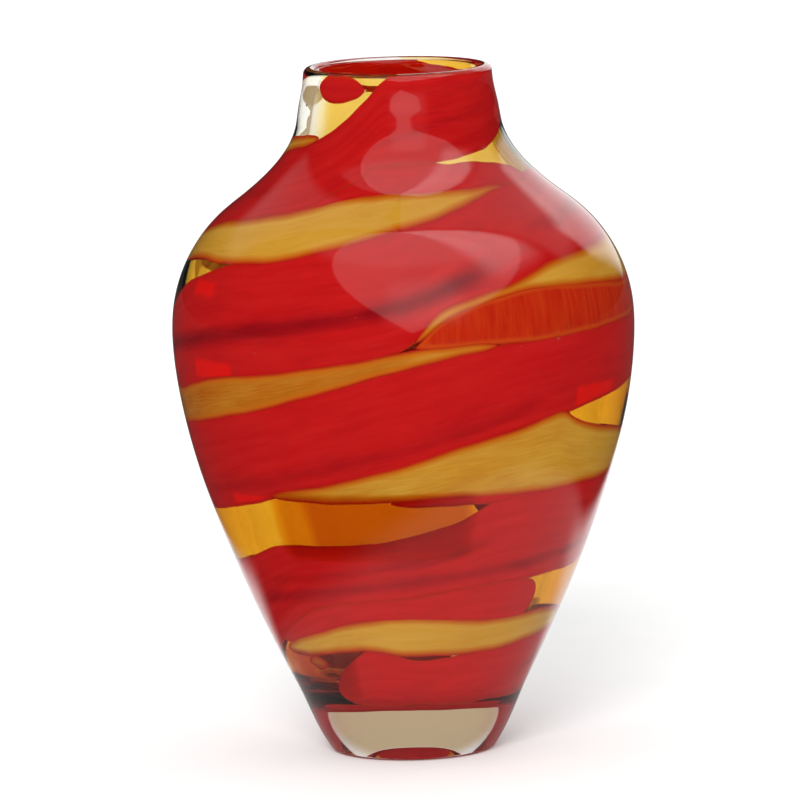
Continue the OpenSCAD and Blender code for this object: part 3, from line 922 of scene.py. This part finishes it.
RED = trail_glass(
    "red_glass", body=(0.63, 0.010, 0.012), dark=(0.28, 0.004, 0.010), pale=(0.72, 0.018, 0.018),
    painted_glow_colour=(0.92, 0.012, 0.010), rim=(0.60, 0.012, 0.009), border=(0.58, 0.026, 0.008),
    rim_width=1.6, grain=(0.035, 0.35),
)
ORANGE = trail_glass(
    "orange_glass", body=(0.60, 0.022, 0.006), dark=(0.42, 0.010, 0.006), pale=(0.70, 0.06, 0.008),
    painted_glow_colour=(0.8, 0.2, 0.02), rim=(0.68, 0.09, 0.010), border=(0.62, 0.05, 0.008),
    rim_width=2.4, grain=(0.4, 0.05),
)
OCHRE = trail_glass(
    "ochre_glass", body=(0.75, 0.42, 0.040), dark=(0.54, 0.15, 0.003), pale=(0.80, 0.50, 0.075),
    painted_glow_colour=(0.8, 0.5, 0.05), rim=(0.66, 0.20, 0.010), border=(0.58, 0.035, 0.008),
    rim_width=3.2, grain=(0.03, 0.3),
)
TRAIL_MATERIALS = {
    "red": (RED, "red_glass"), "orange": (ORANGE, "orange_glass"), "ochre": (OCHRE, "ochre_glass"),
}


# ---------------------------------------------------------------- the vase

def settle(piece, slot, *nodes):
    """Makes a piece ride on the vase and stand for CAD nodes. The slot is not used."""
    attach(piece, "root")
    if nodes:
        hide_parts(*nodes)


settle(build_casing(clear_skin(), matched_glass()), "clear_glass", "clear_casing")
settle(build_liner(amber_glass()), "amber_glass", "amber_liner")
for number, trail_node in enumerate(PATHS):
    trail_material, trail_slot = TRAIL_MATERIALS[trail_node.split("_")[0]]
    settle(build_trail(trail_node, number, trail_material), trail_slot, trail_node)
settle(build_gather(RED), "red_glass", "red_foot_gather")
settle(build_bubbles(bubble_glass()), "clear_glass")


# ---------------------------------------------------------------- floor, light and camera

FLOOR_RADIUS = 60.0
FLOOR_SIDES = 64

# The camera looks down at the middle of the vase from in front, a little tilted: angles in degrees
CAMERA_TARGET = Vector((0, 0, 0.12))
CAMERA_DISTANCE = 3.2
CAMERA_ELEVATION = 8.1
CAMERA_ROLL = 1.39
CAMERA_LENS = 413.0
CAMERA_SHIFT = (-0.0069, 0.0094)


def build_floor():
    """Floor that reaches far past what the camera sees."""
    turns = [2 * math.pi * i / FLOOR_SIDES for i in range(FLOOR_SIDES)]
    rim = [(FLOOR_RADIUS * math.cos(t), FLOOR_RADIUS * math.sin(t), -FLOOR_GAP) for t in turns]
    floor = new_piece("floor", rim, [list(range(FLOOR_SIDES))], [floor_paint()], smooth_faces=False)


# The key light: a broad distant one. Azimuth 0 is from the front and 90 from the right
KEY_AZIMUTH = -8
KEY_ELEVATION = 28
KEY_STRENGTH = 2.3
KEY_WIDTH = 24


def add_key_light():
    """The studio's key light. The glass mirrors the panels instead of it."""
    lamp = bpy.data.lights.new("key_light", "SUN")
    lamp.energy = KEY_STRENGTH
    lamp.angle = math.radians(KEY_WIDTH)
    light = bpy.data.objects.new("key_light", lamp)
    a, e = math.radians(KEY_AZIMUTH), math.radians(KEY_ELEVATION)
    towards = Vector((math.sin(a) * math.cos(e), -math.cos(a) * math.cos(e), math.sin(e)))
    light.rotation_mode = "QUATERNION"
    light.rotation_quaternion = towards.to_track_quat("Z", "Y")
    light.visible_glossy = False
    bpy.context.scene.collection.objects.link(light)


# Panels of light seen in the glass. Each is where all its edges hold, an edge being (a, b, c) for
# a * azimuth + b * elevation > c in degrees, and then how soft the edges are and the strength.
# Azimuth 0 is the front and 90 the right.
PANELS = [
    ([(0.83, 1, 9.5), (-0.45, 1, 5), (-1, 0, -103)], 1.2, 0.9),
    ([(1, 0, 58), (0, 1, 42), (-1, 0, -102)], 8, 1.6),
    ([(1, 0, -8), (-1, 0, -32), (0, 1, 14), (0, -1, -46)], 7, 0.5),
    ([(0, 1, 58), (1, 0, -92), (-1, 0, -80)], 4, 0.4),
    ([(1, 0, -156), (-1, 0, 120), (0, 1, 27)], 5, 0.33),
    ([(1, 0, 131), (0.68, 1, 107), (0, -1, -34)], 4, 1.35),
    ([(1, 0, 108), (0, 1, 28)], 5, 0.45),
]
DIM_ROOM = 0.02

# The plain backdrop, and the room that shines through the glass: warm and dimmer near the horizon
BACKDROP = (1.0, 1.0, 1.0)
WHITE_ROOM = (1.0, 1.0, 1.0)
HORIZON = (0.49, 0.37, 0.23)
HORIZON_RISE = (26, 44)


def panel_light(world, azimuth, elevation):
    """Strength of the light that comes from each direction, as the glass mirrors it."""
    total = DIM_ROOM
    for edges, soft, strength in PANELS:
        panel = strength
        for across, upward, start in edges:
            upward_share = maths(world, "MULTIPLY", elevation, upward)
            place = maths(world, "ADD", maths(world, "MULTIPLY", azimuth, across), upward_share)
            panel = maths(world, "MULTIPLY", rise(world, place, start - soft, start + soft), panel)
        total = maths(world, "ADD", panel, total)
    return total


def build_world():
    """White studio. Its reflection in the glass is a dim room with soft panels of light."""
    world = bpy.data.worlds.new("studio")
    world.use_nodes = True
    nodes = world.node_tree.nodes
    nodes.clear()
    x, y, z = axes(world, nodes.new("ShaderNodeTexCoord").outputs["Generated"])
    azimuth = maths(world, "DEGREES", maths(world, "ARCTAN2", x, maths(world, "MULTIPLY", y, -1.0)))
    elevation = maths(world, "DEGREES", maths(world, "ARCSINE", z))
    gloss = nodes.new("ShaderNodeCombineColor")
    light = panel_light(world, azimuth, elevation)
    for socket in gloss.inputs:
        join(world, light, socket)
    path = nodes.new("ShaderNodeLightPath").outputs
    through = mixed(world, rise(world, elevation, *HORIZON_RISE), HORIZON, WHITE_ROOM)
    seen = mixed(world, path["Is Transmission Ray"], BACKDROP, through)
    mirrored = maths(world, "MULTIPLY", path["Is Reflection Ray"], path["Is Glossy Ray"])
    seen = mixed(world, mirrored, seen, gloss.outputs[0])
    sky = nodes.new("ShaderNodeBackground")
    join(world, seen, sky.inputs["Color"])
    output = nodes.new("ShaderNodeOutputWorld")
    join(world, sky.outputs[0], output.inputs["Surface"])
    bpy.context.scene.world = world


def build_camera():
    """Camera at the angle from which the vase is shown."""
    data = bpy.data.cameras.new("camera")
    data.lens = CAMERA_LENS
    data.sensor_width = 36
    data.clip_start, data.clip_end = 0.05, 200
    data.shift_x, data.shift_y = CAMERA_SHIFT
    camera = bpy.data.objects.new("camera", data)
    e = math.radians(CAMERA_ELEVATION)
    back = Vector((0, -math.cos(e), math.sin(e)))
    roll = Matrix.Rotation(-math.radians(CAMERA_ROLL), 3, "Z")
    aim = (-back).to_track_quat("-Z", "Y").to_matrix() @ roll
    camera.matrix_world = Matrix.Translation(CAMERA_TARGET + back * CAMERA_DISTANCE) @ aim.to_4x4()
    bpy.context.scene.collection.objects.link(camera)
    bpy.context.scene.camera = camera


def set_light_paths():
    """Enough bounces for the nested walls of glass, and true colours."""
    scene = bpy.context.scene
    scene.cycles.max_bounces = 24
    scene.cycles.diffuse_bounces = 6
    scene.cycles.transmission_bounces = 24
    scene.cycles.transparent_max_bounces = 32
    scene.view_settings.view_transform = "Standard"


build_floor()
build_world()
add_key_light()
build_camera()
set_light_paths()
